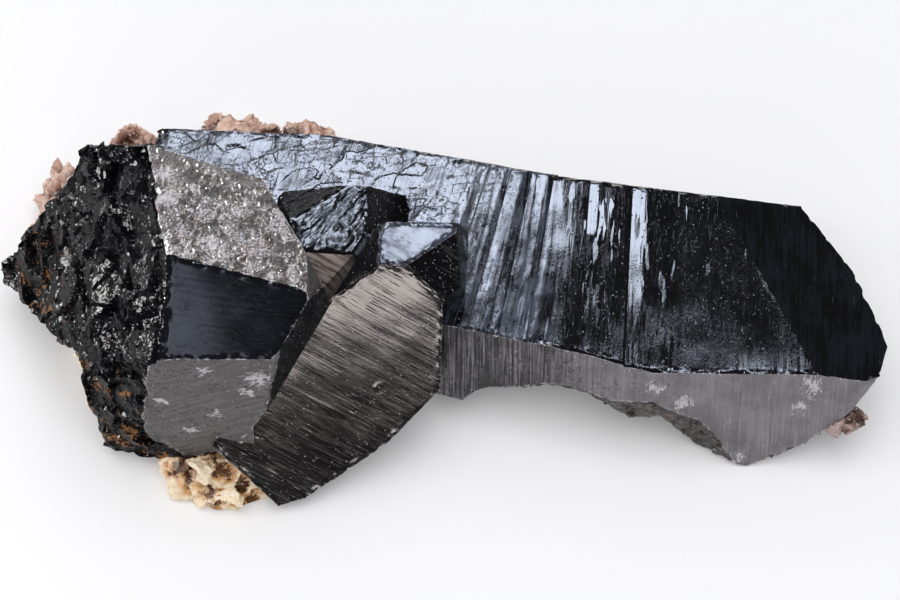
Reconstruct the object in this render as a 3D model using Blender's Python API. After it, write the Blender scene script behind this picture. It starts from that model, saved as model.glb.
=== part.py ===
"""Morion quartz cluster on feldspar.

Black quartz crystals have grown into one mass: a long flattened crystal lying
to the right, a stout one standing at the left with a rough broken flank, a
striated one in front of the middle and a small one between them.  Pale feldspar
rock holds the left end, and a crumb of it clings under the right-hand tip.

Run with  blender --background --python part.py  or from the text editor.
"""
import math
import random

import bmesh
import bpy
from mathutils import Matrix, Vector, noise

MM = 0.001                # every size below is in millimetres
GAP = 0.3                 # clearance between crystal and rock
BLANK = 260.0             # edge of the block that a crystal is cleaved from
SCOOP_TILT = 30.0         # lean from upright of the direction the arch is scooped along

# ---------------------------------------------------------------- crystals
# A crystal is its cleaved faces.  Each face is
#   name: (azimuth, elevation, distance from the growth centre)
# of its outward normal.  Azimuth 0 faces the front (-Y), 90 faces +X.

MAIN_CRYSTAL = {
    "top_right": (8, 84, 21.75),
    "top_left": (-27, 83, 20.3),
    "front_right": (0, 24, 30.5),
    "front_left": (-15, 25, 21.8),
    "back": (172, 30, 23.7),
    "back_under": (172, -30, 20.2),
    "broken_end": (-95, 3, 54.35),
    "tip_top": (76, 81, 28.5),
    "tip_back": (124, 6, 56.8),
    "tip_side": (110, 4, 65.0),
    "tip_point": (101, 12, 71.5),
    "tip_sliver": (27, 12, 57.2),
    "tip_under": (73, -28, 60.0),
    "tip_under_front": (39, -23, 55.7),
    "keel": (27, -30, 45.9),
    "front_under": (-16, -36, 14.5),
    "underside": (-90, -86, -1.7),
    "seat": (0, -90, 0.0),
}

# the wide left half of the main crystal, a hair proud of the right half
MAIN_LEFT_HALF = {
    "top": (-27, 83, 20.35),
    "front": (-15, 25, 21.85),
    "back_left": (177, 30, 28.2),
    "back_right": (168, 31, 25.1),
    "back_under": (172, -30, 19.2),
    "broken_end": (-95, 3, 54.4),
    "front_under": (-16, -36, 14.55),
    "underside": (-90, -86, -1.7),
    "inner_end": (90, 0, 18.9),
}

STOUT_CRYSTAL = {
    "crown": (2, 71, 46.1),
    "face": (-6, 56, 48.0),
    "foot": (-2, 8, 36.8),
    "flank": (-63, 39, 65.1),
    "flank_outer": (-70, 32, 67.6),
    "flank_low": (-45, 12, 61.3),
    "flank_tip": (-101, -21, 68.9),
    "flank_back": (-140, 14, 52.5),
    "flank_under": (-40, -27, 42.2),
    "bevel_front": (40, 2, 6.6),
    "bevel_side": (79, 31, 5.5),
    "side_front": (69, -26, -23.8),
    "side": (104, 12, -16.3),
    "side_back": (119, 9, -21.1),
    "side_foot": (57, -3, -8.5),
    "back": (161, 26, 7.9),
    "back_left": (176, 30, 22.2),
    "foot_under": (26, -46, 3.2),
    "underside": (0, -90, -5.0),
}

STOUT_CRYSTAL_TOE = {
    "foot": (-2, 8, 36.75),
    "face": (-6, 56, 47.9),
    "flank_above": (-63, 39, 65.0),
    "flank": (-36, 11, 59.0),
    "lens": (-12, -2, 43.0),
    "left": (-94, -6, 58.1),
    "corner": (-72, -12, 63.6),
    "under": (23, -55, 3.0),
    "top": (180, 30, -5.0),
    "inner_side": (90, 0, -33.0),
    "underside": (0, -90, -3.0),
}

STRIATED_CRYSTAL = {
    "face": (10, 41, 28.4),
    "end_bright": (36, 77, 32.0),
    "end_dark": (37, 51, 27.7),
    "right": (90, -2, -2.1),
    "front_right": (56, -31, 4.0),
    "front": (44, -37, 8.2),
    "tip": (17, -29, 26.5),
    "left": (-62, -34, 36.7),
    "left_top": (-112, 58, 30.9),
    "end_left": (-116, 31, 23.9),
    "end_back": (-180, 25, 10.4),
    "underside": (0, -90, -1.5),
}

# the end of the striated crystal steps out past its right side
STRIATED_CRYSTAL_HEAD = {
    "face": (10, 41, 28.43),
    "end_bright": (36, 77, 32.03),
    "end_dark": (37, 51, 27.73),
    "right": (88, 8, 5.7),
    "right_under": (50, -8, 5.4),
    "end_left": (-116, 31, 23.85),
    "end_back": (-180, 25, 10.43),
    "inner_side": (-90, 0, 12.0),
    "underside": (0, -90, -8.0),
}

SMALL_CRYSTAL = {
    "top": (-8, 80, 27.7),
    "left_top": (-137, 57, 33.2),
    "right_top": (80, 40, 7.2),
    "front": (-5, 35, 21.8),
    "back": (178, 20, 15.0),
    "left_back": (-121, -2, 28.7),
    "right_back": (112, -12, -8.4),
    "left": (-80, 15, 33.0),
    "underside": (0, -90, -12.0),
}

# the broken flank: which faces are rough, and how rough
ROUGH_FACES = ("flank", "flank_outer", "flank_low", "lens", "corner")
FLANK_CELL = 2.8          # spacing of the break's facets
FLANK_DEPTH = 1.1         # deepest hollow in the break
FLANK_REACH = 60.0        # the break is creased this far each way from the growth centre
FLANK_LEAN = 0.18         # how much the creases lean from one to the next

# the arch broken out from under the main crystal, as (along, up) in the plane
# square to the scoop direction
ARCH = [
    (-1.0, -20.5), (2.1, -17.7), (4.3, -15.7), (6.4, -15.1), (12.0, -15.0),
    (16.3, -14.3), (19.0, -14.5), (24.2, -15.9), (31.1, -20.0), (36.7, -19.8),
    (43.0, -25.0), (49.0, -27.9), (51.5, -30.5), (51.5, -44.0), (-1.0, -44.0),
]
ARCH_LENGTH = 90.0

# the upright broken ledge under the front face, in plan
LEDGE = [
    (23.0, -25.0), (27.0, -26.5), (37.6, -28.3), (42.7, -29.2), (44.9, -30.3),
    (48.9, -32.8), (52.0, -40.0), (23.0, -40.0),
]
LEDGE_HEIGHT = 30.0
LEDGE_BOTTOM = -5.0

# growth steps across the main crystal's top: (x at its middle, depth, width of its
# gentle side, lean in degrees, front end, back end); the gentle side lies to the
# right of the step, or to the left where the width is negative
LEFT_STEPS = [
    (2.6, 0.16, -1.5, 17, -30, 30), (7.2, 0.14, -1.1, 15, -30, 30), (11.6, 0.18, -1.4, 12, -30, 30),
    (16.0, 0.15, -1.2, 10, -30, 30),
]
RIGHT_STEPS = [
    (24.9, 0.20, 1.4, 5, 0.5, 30), (31.2, 0.34, 2.2, 4, -30, 30),
]
STEP_STEEP_SIDE = 0.2     # width of the steep side, as a share of the gentle one
STEP_CLEARANCE = 0.6      # how far the cutters stand above the face

# ---------------------------------------------------------------- rock
# chunks of feldspar: (centre, radii)
ROCK_CHUNKS = [
    ((-42, -4, 2), (24, 33, 11)),
    ((-44, 14, 1), (27, 17, 10)),
    ((-42, -33, 1), (9, 9, 8)),
    ((-37, -36, 1), (8, 6.5, 7)),
    ((-57.5, 22.5, 4.5), (10, 11, 10.5)),
    ((-69.5, 19, 3), (6, 6.5, 8)),
    ((-70.5, 12.5, 3.5), (6, 6, 7)),
    ((-38.2, 27.9, 3.5), (9, 10, 10.5)),
    ((-26.3, 26.8, 3.5), (8.8, 9.5, 10)),
    ((-29, 6, 1), (14, 24, 9)),
]
ROCK_BREAKS = 18          # flat breaks across one chunk
ROCK_BREAK_REACH = (0.66, 0.88)   # how far out they are, as shares of the radius
ROCK_ROUGHNESS = 0.7      # height of the bumps left on the breaks
ROCK_BUMP = 4.0           # spacing of the bumps
ROCK_KEEP = 0.5           # share of the triangles kept when the rock is thinned out
ROCK_BASE = 0.0           # height of its flat foot

CRUMB_CENTRE = (68.0, -28.4, 7.6)
CRUMB_RADII = (3.9, 2.9, 2.9)
CRUMB_ROUGHNESS = 0.3


def outward(azimuth, elevation):
    """Unit normal of a face from its azimuth and elevation in degrees."""
    azimuth, elevation = math.radians(azimuth), math.radians(elevation)
    level = math.cos(elevation)
    return Vector((math.sin(azimuth) * level, -math.cos(azimuth) * level, math.sin(elevation)))


def new_object(name, mesh, collection):
    """Link a mesh to the scene under the given name."""
    mesh.name = name
    thing = bpy.data.objects.new(name, mesh)
    collection.objects.link(thing)
    return thing


def as_tool(thing):
    """Mark an object as a cutter or a piece that another object takes in."""
    thing.hide_render = True
    thing.display_type = "WIRE"
    return thing


def cleave(faces, grow=0.0):
    """A block cleaved along every face, moved out by grow."""
    bm = bmesh.new()
    bmesh.ops.create_cube(bm, size=BLANK * MM)
    for azimuth, elevation, distance in faces.values():
        normal = outward(azimuth, elevation)
        cut = bmesh.ops.bisect_plane(
            bm, geom=bm.verts[:] + bm.edges[:] + bm.faces[:], dist=1e-7,
            plane_co=normal * (distance + grow) * MM, plane_no=normal, clear_outer=True)
        rim = [item for item in cut["geom_cut"] if isinstance(item, bmesh.types.BMEdge)]
        if rim:
            bmesh.ops.edgeloop_fill(bm, edges=rim)
    bmesh.ops.recalc_face_normals(bm, faces=bm.faces[:])
    return bm


def lying_on(bm, azimuth, elevation, distance):
    """The faces of a block that lie on one cleavage face."""
    normal = outward(azimuth, elevation)
    return [face for face in bm.faces
            if face.normal.dot(normal) > 0.9999
            and abs(face.verts[0].co.dot(normal) - distance * MM) < 0.00002]


def in_order(items):
    """Each item once, in the order met, so that every run draws alike."""
    return list(dict.fromkeys(items))


def roughen(bm, faces, seed):
    """Break the rough faces of a block into hollows that stay inside it."""
    chance = random.Random(seed)
    rough = [spec for name, spec in faces.items() if name in ROUGH_FACES]
    for axis in (Vector((0.15, 1, 0.25)).normalized(), Vector((0.1, -0.3, 1)).normalized()):
        reach = -FLANK_REACH
        while reach < FLANK_REACH:
            reach += FLANK_CELL * chance.uniform(0.7, 1.3)
            lean = Vector([chance.uniform(-FLANK_LEAN, FLANK_LEAN) for _ in range(3)])
            faces_now = [face for spec in rough for face in lying_on(bm, *spec)]
            edges_now = in_order(edge for face in faces_now for edge in face.edges)
            verts_now = in_order(vert for face in faces_now for vert in face.verts)
            bmesh.ops.bisect_plane(
                bm, geom=verts_now + edges_now + faces_now, dist=1e-6,
                plane_co=axis * reach * MM, plane_no=(axis + lean).normalized())
    members = in_order(face for spec in rough for face in lying_on(bm, *spec))
    inner = in_order(vert for face in members for vert in face.verts
                     if all(other in members for other in vert.link_faces))
    moves = []
    for vert in inner:
        inward = -sum((face.normal for face in vert.link_faces), Vector()).normalized()
        moves.append(inward * FLANK_DEPTH * MM * chance.uniform(0.0, 1.0))
    for vert, move in zip(inner, moves):
        vert.co += move
    bmesh.ops.triangulate(bm, faces=members)
    bmesh.ops.recalc_face_normals(bm, faces=bm.faces[:])


def crystal(name, faces, collection, rough_seed=None):
    """One crystal as an object."""
    bm = cleave(faces)
    if rough_seed is not None:
        roughen(bm, faces, rough_seed)
    mesh = bpy.data.meshes.new(name)
    bm.to_mesh(mesh)
    bm.free()
    return new_object(name, mesh, collection)


def outline_prism(name, points, length, frame, collection):
    """A closed prism from a flat outline, as a mesh in the given frame."""
    curve = bpy.data.curves.new(name, "CURVE")
    curve.dimensions = "2D"
    curve.fill_mode = "BOTH"
    curve.extrude = 0.5 * length * MM
    spline = curve.splines.new("POLY")
    spline.points.add(len(points) - 1)
    for point, (x, y) in zip(spline.points, points):
        point.co = (x * MM, y * MM, 0.0, 1.0)
    spline.use_cyclic_u = True
    guide = bpy.data.objects.new(name + "_curve", curve)
    collection.objects.link(guide)
    bpy.context.view_layer.update()
    evaluated = guide.evaluated_get(bpy.context.evaluated_depsgraph_get())
    mesh = bpy.data.meshes.new_from_object(evaluated)
    bpy.data.objects.remove(guide)
    bm = bmesh.new()
    bm.from_mesh(mesh)
    bmesh.ops.remove_doubles(bm, verts=bm.verts[:], dist=1e-6)
    bmesh.ops.recalc_face_normals(bm, faces=bm.faces[:])
    bm.to_mesh(mesh)
    bm.free()
    prism = new_object(name, mesh, collection)
    prism.matrix_world = frame
    return as_tool(prism)


def step_cutters(steps, plane, collection):
    """Wedges that press growth steps into one flat face."""
    azimuth, elevation, distance = plane
    normal = outward(azimuth, elevation)
    wedges = []
    for x, depth, width, lean, front, back in steps:
        run = Vector((math.sin(math.radians(lean)), math.cos(math.radians(lean)), 0.0))
        along = (run - normal * run.dot(normal)).normalized()
        across = along.cross(normal)
        middle = 0.5 * (front + back)
        height = (distance - normal.x * x - normal.y * middle) / normal.z
        pose = Matrix((across, normal, across.cross(normal))).transposed().to_4x4()
        pose.translation = Vector((x, middle, height)) * MM
        spread = 1.0 + STEP_CLEARANCE / depth
        section = [(-STEP_STEEP_SIDE * width * spread, STEP_CLEARANCE), (0.0, -depth),
                   (width * spread, STEP_CLEARANCE)]
        wedges.append(outline_prism(f"growth_step_{x}", section, back - front, pose, collection))
    return wedges


def boolean(thing, other, operation):
    """Add an exact Boolean with another object."""
    step = thing.modifiers.new(f"{operation.lower()}_{other.name}", "BOOLEAN")
    step.operation = operation
    step.solver = "EXACT"
    step.object = other


def chunk(name, centre, radii, subdivisions, height, seed, collection):
    """A broken stone: a ball stretched to its radii, with flat breaks and bumps."""
    chance = random.Random(seed)
    bm = bmesh.new()
    bmesh.ops.create_icosphere(bm, subdivisions=subdivisions, radius=1.0)
    for _ in range(ROCK_BREAKS):
        normal = Vector([chance.gauss(0, 1) for _ in range(3)]).normalized()
        reach = chance.uniform(*ROCK_BREAK_REACH)
        for vert in bm.verts:
            beyond = vert.co.dot(normal) - reach
            if beyond > 0:
                vert.co -= normal * beyond
    centre, radii = Vector(centre), Vector(radii)
    for vert in bm.verts:
        away = vert.co.normalized()
        spot = centre + Vector([a * b for a, b in zip(vert.co, radii)])
        push = noise.noise(spot / ROCK_BUMP) + 0.5 * noise.noise(spot / ROCK_BUMP * 2.3)
        vert.co = (spot + away * push * height) * MM
    mesh = bpy.data.meshes.new(name)
    bm.to_mesh(mesh)
    bm.free()
    return new_object(name, mesh, collection)


def material(name, colour, roughness):
    """A Principled surface."""
    surface = bpy.data.materials.new(name)
    surface.use_nodes = True
    shader = surface.node_tree.nodes["Principled BSDF"]
    shader.inputs["Base Color"].default_value = (*colour, 1.0)
    shader.inputs["Roughness"].default_value = roughness
    shader.inputs["Metallic"].default_value = 0.0
    return surface


def flattened(thing):
    """Replace an object's mesh with its evaluated one and drop its modifiers."""
    bpy.context.view_layer.update()
    evaluated = thing.evaluated_get(bpy.context.evaluated_depsgraph_get())
    mesh = bpy.data.meshes.new_from_object(evaluated)
    thing.modifiers.clear()
    thing.data = mesh
    return mesh


def make_crystals(parts, tools):
    """All the crystals, grown into one solid."""
    body = crystal("morion_crystals", MAIN_CRYSTAL, parts)
    joined = [
        crystal("main_left_half", MAIN_LEFT_HALF, tools),
        crystal("stout_crystal", STOUT_CRYSTAL, tools, rough_seed=3),
        crystal("stout_crystal_toe", STOUT_CRYSTAL_TOE, tools, rough_seed=5),
        crystal("striated_crystal", STRIATED_CRYSTAL, tools),
        crystal("striated_crystal_head", STRIATED_CRYSTAL_HEAD, tools),
        crystal("small_crystal", SMALL_CRYSTAL, tools),
    ]
    scoop = Matrix.Rotation(math.radians(SCOOP_TILT), 4, "X")
    arch = outline_prism("arch", ARCH, ARCH_LENGTH, scoop, tools)
    ledge_pose = Matrix.Translation(Vector((0, 0, 0.5 * LEDGE_HEIGHT + LEDGE_BOTTOM)) * MM)
    ledge = outline_prism("ledge", LEDGE, LEDGE_HEIGHT, ledge_pose, tools)
    boolean(body, joined[0], "UNION")
    steps = step_cutters(LEFT_STEPS, MAIN_LEFT_HALF["top"], tools)
    steps += step_cutters(RIGHT_STEPS, MAIN_CRYSTAL["top_right"], tools)
    for cutter in (arch, ledge, *steps):
        boolean(body, cutter, "DIFFERENCE")
    for piece in joined[1:]:
        boolean(body, as_tool(piece), "UNION")
    as_tool(joined[0])
    flattened(body)
    body.data.materials.clear()
    body.data.materials.append(material("morion_quartz", (0.012, 0.012, 0.015), 0.16))
    return body


def clear_of_crystals(thing, tools):
    """Cut the crystals, grown by the gap, out of a piece of rock."""
    sorts = {"main": MAIN_CRYSTAL, "main_left": MAIN_LEFT_HALF, "stout": STOUT_CRYSTAL,
             "toe": STOUT_CRYSTAL_TOE, "striated": STRIATED_CRYSTAL}
    for name, faces in sorts.items():
        bm = cleave(faces, GAP)
        mesh = bpy.data.meshes.new(f"{thing.name}_{name}_socket")
        bm.to_mesh(mesh)
        bm.free()
        socket = as_tool(new_object(mesh.name, mesh, tools))
        boolean(thing, socket, "DIFFERENCE")


def largest_body(thing):
    """Drop the loose chips that a cut leaves, and keep the largest body."""
    bm = bmesh.new()
    bm.from_mesh(thing.data)
    waiting = set(bm.verts)
    bodies = []
    while waiting:
        stack = [waiting.pop()]
        body = set(stack)
        while stack:
            for edge in stack.pop().link_edges:
                for vert in edge.verts:
                    if vert in waiting:
                        waiting.remove(vert)
                        body.add(vert)
                        stack.append(vert)
        bodies.append(body)
    keep = max(bodies, key=len)
    bmesh.ops.delete(bm, geom=[vert for vert in bm.verts if vert not in keep], context="VERTS")
    bm.to_mesh(thing.data)
    bm.free()


def make_rock(parts, tools):
    """The feldspar matrix, chunks joined, thinned out, set flat and socketed."""
    (centre, radii), *others = ROCK_CHUNKS
    rock = chunk("feldspar_matrix", centre, radii, 4, ROCK_ROUGHNESS, 1, parts)
    for number, (centre, radii) in enumerate(others, 2):
        piece = chunk(f"rock_chunk_{number}", centre, radii, 3, ROCK_ROUGHNESS, number, tools)
        boolean(rock, as_tool(piece), "UNION")
    thin = rock.modifiers.new("thin_out", "DECIMATE")
    thin.ratio = ROCK_KEEP
    flattened(rock)
    bm = bmesh.new()
    bm.from_mesh(rock.data)
    cut = bmesh.ops.bisect_plane(
        bm, geom=bm.verts[:] + bm.edges[:] + bm.faces[:], dist=1e-7,
        plane_co=(0, 0, ROCK_BASE * MM), plane_no=(0, 0, -1), clear_outer=True)
    rim = [item for item in cut["geom_cut"] if isinstance(item, bmesh.types.BMEdge)]
    bmesh.ops.edgeloop_fill(bm, edges=rim)
    bmesh.ops.recalc_face_normals(bm, faces=bm.faces[:])
    bm.to_mesh(rock.data)
    bm.free()
    clear_of_crystals(rock, tools)
    flattened(rock)
    largest_body(rock)
    rock.data.materials.clear()
    rock.data.materials.append(material("feldspar_tan", (0.72, 0.50, 0.32), 0.75))
    return rock


def make_crumb(parts, tools):
    """The crumb of feldspar under the right-hand tip."""
    crumb = chunk("feldspar_crumb", CRUMB_CENTRE, CRUMB_RADII, 2, CRUMB_ROUGHNESS, 4, parts)
    clear_of_crystals(crumb, tools)
    flattened(crumb)
    largest_body(crumb)
    crumb.data.materials.clear()
    crumb.data.materials.append(material("feldspar_pink", (0.38, 0.26, 0.21), 0.8))
    return crumb


def centre_on_base(parts, tools):
    """Move everything so that the origin is the middle of the base."""
    bpy.context.view_layer.update()
    corners = [thing.matrix_world @ vert.co for thing in parts.objects for vert in thing.data.vertices]
    low = Vector([min(corner[axis] for corner in corners) for axis in range(3)])
    high = Vector([max(corner[axis] for corner in corners) for axis in range(3)])
    shift = Vector((-0.5 * (low.x + high.x), -0.5 * (low.y + high.y), -low.z))
    for thing in [*parts.objects, *tools.objects]:
        thing.location += shift
    print("moved by", [round(value / MM, 2) for value in shift])


def main():
    for thing in list(bpy.data.objects):
        bpy.data.objects.remove(thing)
    parts = bpy.data.collections.new("morion_quartz_cluster")
    tools = bpy.data.collections.new("cutters")
    for collection in (parts, tools):
        bpy.context.scene.collection.children.link(collection)
    make_crystals(parts, tools)
    make_rock(parts, tools)
    make_crumb(parts, tools)
    centre_on_base(parts, tools)


main()
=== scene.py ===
"""Looks of the morion quartz cluster: refined crystal faces, feldspar, studio."""
import math
import random

import bmesh
import bpy
import numpy as np
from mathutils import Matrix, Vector
from mathutils.geometry import delaunay_2d_cdt, intersect_point_line
from mathutils.kdtree import KDTree


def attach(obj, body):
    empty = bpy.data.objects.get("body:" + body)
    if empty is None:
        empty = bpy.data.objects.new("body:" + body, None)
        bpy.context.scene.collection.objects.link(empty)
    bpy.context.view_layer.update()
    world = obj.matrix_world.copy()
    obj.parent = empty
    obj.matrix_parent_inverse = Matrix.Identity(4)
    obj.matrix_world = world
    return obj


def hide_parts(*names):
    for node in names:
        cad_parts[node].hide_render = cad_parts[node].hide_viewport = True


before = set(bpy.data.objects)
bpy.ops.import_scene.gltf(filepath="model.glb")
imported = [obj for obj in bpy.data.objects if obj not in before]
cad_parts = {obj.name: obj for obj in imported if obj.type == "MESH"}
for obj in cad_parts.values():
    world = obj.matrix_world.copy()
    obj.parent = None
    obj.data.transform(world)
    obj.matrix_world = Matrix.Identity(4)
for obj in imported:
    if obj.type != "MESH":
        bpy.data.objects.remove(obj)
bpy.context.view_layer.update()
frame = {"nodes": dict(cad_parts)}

MM = 0.001  # sizes below are in millimetres

# ---- view
GROWTH_CENTRE = Vector((2.12, 2.74, 0.0))  # the crystals' faces are measured from here
CAMERA_DISTANCE = 450.0
CAMERA_TILT = 30.0  # degrees from straight down
LENS = 100.0
SENSOR = 36.0
TOWARD = Vector((0, -math.sin(math.radians(CAMERA_TILT)), math.cos(math.radians(CAMERA_TILT))))
VIEW_UP = Vector((0, math.cos(math.radians(CAMERA_TILT)), math.sin(math.radians(CAMERA_TILT))))
VIEW_RIGHT = Vector((1, 0, 0))


def outward(azimuth, elevation):
    """Unit normal from azimuth (0 is -Y, 90 is +X) and elevation in degrees."""
    azimuth, elevation = math.radians(azimuth), math.radians(elevation)
    level = math.cos(elevation)
    return Vector((math.sin(azimuth) * level, -math.cos(azimuth) * level, math.sin(elevation)))


# ---- faces
# Finish: (normals as azimuth and elevation, lean of the growth lines, mesh step).
# The lean is in degrees clockwise from upright, as the camera sees it.
FINISHES = {
    "top": (((-27, 83), (8, 84)), 8, 0.28),
    "tip": (((76, 81),), 5, 0.50),
    "front": (((-15, 25), (0, 24), (27, 12)), 0, 0.42),
    "crown": (((2, 71),), 60, 0.36),
    "face": (((-6, 56),), 98, 0.36),
    "foot": (((-2, 8),), 75, 0.45),
    "striated": (((10, 41), (18, 29)), 119, 0.30),
    "head_top": (((36, 77),), 119, 0.33),
    "head_side": (((37, 51),), 119, 0.33),
    "small_top": (((-8, 80),), 60, 0.30),
    "small_left": (((-137, 57),), 60, 0.33),
    "small_right": (((80, 40),), 60, 0.33),
    "small_front": (((-5, 35),), 119, 0.33),
    "bevel": (((40, 2), (79, 31)), 30, 0.40),
}
FACE_MATCH = 0.9996  # cosine of the greatest angle between a face and its finish's normal
TOP_PLANES = ((-27, 83, 20.35), (8, 84, 21.75))  # azimuth, elevation, distance from the growth centre
TOP_GAP = 0.6  # the stepped top is this near to one of the planes
TOP_MATCH = 0.75  # and turned from it by less than the angle of this cosine
BROKEN_END = -40.0  # the broken flank is left of here
TORN_AREA = 25.0  # and its faces under this area, in mm2, never have a named finish
LEDGE_LEFT, LEDGE_TOP = 15.0, 14.0  # the ledge is right of the first and below the second
BROKEN_STEP = 0.50  # steps of the meshes
SIDE_STEP = 1.0  # faces that the camera does not see
UNDER_STEP = 1.5
EDGE_STEP = 0.5
ROW_SHARE = 0.87  # rows of inner points are this share of a step apart
RIM_SHARE = 0.45  # and clear of the rim by this share
WELD = 2e-6  # metres
SLIVER = 0.5  # a narrower face is a sliver
HAIR = 0.6  # a step no higher than this inside one finish is a hairline
SHARP_EDGE = 12.0  # an edge with a greater angle gets chipped, degrees
BORDER_FADE = 0.5  # relief fades out this near to another finish
# sharp edges are worn down by the first, and in places by up to the second more, out to the third
LEAST_WEAR, MORE_WEAR, WEAR_REACH = 0.06, 0.45, 0.5
EDGE_REACH, TORN_REACH = 1.2, 1.8  # how far from sharp and torn edges the surface is uneven
CRYSTAL_CREASE, ROCK_CREASE = 14, 30  # edges over these angles are shaded sharp, degrees


# ---- noise
def lattice(cells, seed):
    """A repeatable number from -1 to 1 for each whole-number cell, by mixing its bits."""
    mixed = (cells[:, 0] * 73856093) ^ (cells[:, 1] * 19349663) ^ (cells[:, 2] * 83492791)
    mixed = mixed ^ (seed * 2654435761)
    mixed = (mixed ^ (mixed >> 13)) * 1274126177
    mixed = (mixed ^ (mixed >> 16)) & 0xFFFFFF
    return mixed / float(0x7FFFFF) - 1.0


def noise(points, size, seed=0):
    """Smooth noise from -1 to 1 with features of the given size."""
    scaled = np.asarray(points) / size
    base = np.floor(scaled).astype(np.int64)
    part = scaled - base
    part = part * part * (3 - 2 * part)
    total = np.zeros(len(scaled))
    for corner in range(8):
        step = np.array([corner & 1, corner >> 1 & 1, corner >> 2 & 1])
        weight = np.prod(np.where(step, part, 1 - part), axis=1)
        total += weight * lattice(base + step, seed)
    return total


def rough_noise(points, size, seed=0, octaves=3):
    """Noise with finer noise on it."""
    return sum(noise(points, size / 2.1 ** k, seed + 17 * k) * 0.5 ** k for k in range(octaves))


def facets(points, size, seed, tilt):
    """Height of broken facets: each cell of space is a flat tilted its own way (slope up to tilt)."""
    scaled = np.asarray(points) / size
    base = np.floor(scaled).astype(np.int64)
    nearest = np.full(len(scaled), 9.0)
    height = np.zeros(len(scaled))
    for number in range(27):
        cell = base + np.array([number % 3 - 1, number // 3 % 3 - 1, number // 9 - 1])
        spread = np.stack([lattice(cell, seed + k) for k in range(3)], axis=1)
        away = scaled - (cell + 0.5 + 0.42 * spread)
        gap = np.linalg.norm(away, axis=1)
        lean = np.stack([lattice(cell, seed + 3 + k) for k in range(3)], axis=1)
        here = (away * lean).sum(axis=1) * size * tilt + 0.15 * size * tilt * lattice(cell, seed + 7)
        nearer = gap < nearest
        nearest = np.where(nearer, gap, nearest)
        height = np.where(nearer, here, height)
    return height


def rise(value, low, high):
    """0 below low, 1 above high, smooth between."""
    share = np.clip((np.asarray(value) - low) / (high - low), 0, 1)
    return share * share * (3 - 2 * share)


class Ledges:
    """Growth steps across a face: flats with short treads tilted left or right between."""

    def __init__(self, seed, flats, treads, slopes, deepest):
        chance = random.Random(seed)
        place, height = -100.0, 0.0
        places, heights = [place], [height]
        while place < 100.0:
            place += chance.uniform(*flats)
            places.append(place)
            heights.append(height)
            width = chance.uniform(*treads)
            down = chance.random() < 0.5 + 0.5 * height / deepest
            slope = math.tan(math.radians(chance.uniform(*slopes)))
            place += width
            height += -slope * width if down else slope * width
            places.append(place)
            heights.append(height)
        self.places, self.heights = np.array(places), np.array(heights)

    def __call__(self, across):
        return np.interp(across, self.places, self.heights)


# seed, widths of the flats and of the treads, slopes in degrees, greatest height
STREAKS = Ledges(4, (0.2, 1.0), (0.15, 0.6), (3.0, 9.0), 0.2)
FAINT_STREAKS = Ledges(5, (0.6, 4.0), (0.3, 0.7), (1.5, 7.0), 0.15)
FRONT_STREAKS = Ledges(7, (0.3, 1.6), (0.3, 0.8), (3.0, 9.0), 0.2)
GROOVES = Ledges(9, (0.3, 1.5), (0.08, 0.2), (0.3, 1.5), 0.03)
STREAKS_START, STREAKS_END = (-4.0, 3.0), (18.5, 21.5)  # where the top's streaks come and go, in x

# ---- grain
def top_lean(x):
    """Lean in degrees of the growth lines on the main crystal's top, less towards the tip."""
    return np.interp(x, [-50, 0, 10, 20, 30, 76], [12, 18, 13, 7, 4, 3])


def grain(finish, points):
    """(across, along) the growth lines in mm, at each point."""
    if finish == "top":
        along = (points[:, 1] - GROWTH_CENTRE.y) / math.cos(math.radians(8))
        across = points[:, 0] - np.tan(np.radians(top_lean(points[:, 0]))) * along
        return across, along
    if finish in FINISHES:
        normals, lean, _ = FINISHES[finish]
        normal = outward(*normals[0])
        lean = math.radians(lean)
        run = VIEW_RIGHT * math.sin(lean) + VIEW_UP * math.cos(lean)
        run = run - TOWARD * (normal.dot(run) / normal.dot(TOWARD))
        run.normalize()
        side = run.cross(normal)
        return points @ np.array(side), points @ np.array(run)
    return points[:, 0] + 0.15 * points[:, 2], 0.7 * points[:, 1] - 0.7 * points[:, 2]


def top_relief(points, across, along):
    """The main crystal's top: blocks at the left, then streaks, then a nearly flat dark part."""
    streaked = rise(points[:, 0], *STREAKS_START)
    dark = rise(points[:, 0], *STREAKS_END)
    blocks = facets(np.stack([across / 1.6, along, 0 * across], 1), 3.0, 21, 0.03)
    bend = across + 0.12 * noise(points, 5.0, 23)
    uneven = 0.012 * rough_noise(np.stack([across, along * 0.4, 0 * across], 1), 1.1, 28)
    streaks = 0.8 * STREAKS(bend) * streaked * (1 - dark)
    height = blocks * (1 - streaked) + streaks + uneven * (1 - 0.8 * dark)
    return height + 0.4 * FAINT_STREAKS(bend) * dark


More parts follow.
